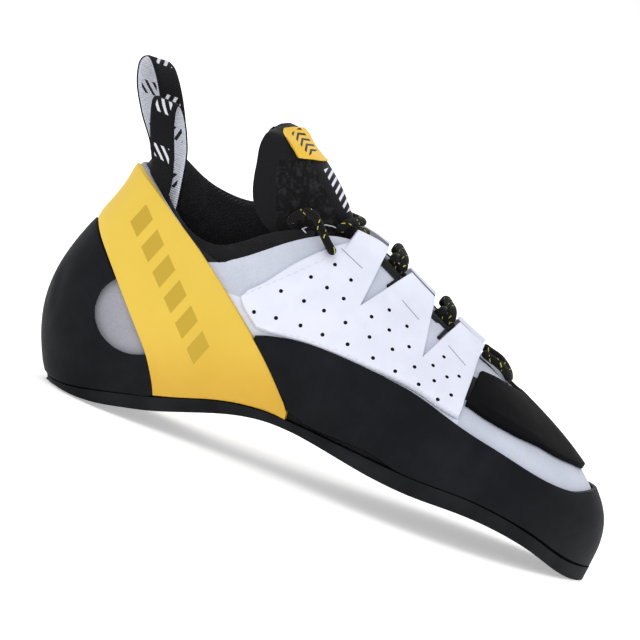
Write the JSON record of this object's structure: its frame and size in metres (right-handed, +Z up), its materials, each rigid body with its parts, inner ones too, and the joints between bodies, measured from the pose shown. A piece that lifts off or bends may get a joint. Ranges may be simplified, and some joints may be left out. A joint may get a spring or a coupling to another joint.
{
  "type": "climbing shoe",
  "caption": "Right-foot lace-up climbing shoe, downturned and asymmetric: thin upper with rubber rand, heel tension strap, toe patch, folded lace tabs and padded tongue, standing on heel and toe",
  "frame": {"origin": "middle of the flat spot under the heel, on the floor", "axes": "+X towards the toe, +Z up, the outer side of the foot at -Y"},
  "size_m": [0.2469, 0.0952, 0.1371],
  "materials": {
    "sole_rubber": "matt black sticky rubber",
    "grey_microfibre": "light grey microfibre, soft nap",
    "insole_fabric": "grey brushed fabric",
    "rand_rubber": "matt black rubber sheet",
    "strap_rubber": "satin yellow rubber",
    "white_synthetic": "white coated synthetic sheet",
    "lining_knit": "black stretch knit",
    "tongue_mesh": "black padded mesh",
    "lace_cord": "black braided cord with yellow flecks",
    "loop_webbing": "black woven webbing, light grey on its inner face"
  },
  "bodies": {
    "root": {"outsole": "sole_rubber", "upper": "grey_microfibre", "insole": "insole_fabric", "rand": "rand_rubber", "heel_rand": "rand_rubber", "heel_strap": "strap_rubber", "toe_patch": "rand_rubber", "eyestay_outer": "white_synthetic", "eyestay_inner": "white_synthetic", "collar_cuff": "lining_knit", "tongue": "tongue_mesh", "tongue_tab": "strap_rubber", "lace_crossing_top": "lace_cord", "lace_crossing_low": "lace_cord", "lace_crossing_rear": "lace_cord", "lace_bight": "lace_cord", "lace_end_outer": "lace_cord", "lace_end_inner": "lace_cord", "pull_loop_outer": "loop_webbing", "pull_loop_inner": "loop_webbing"}
  },
  "joints": []
}
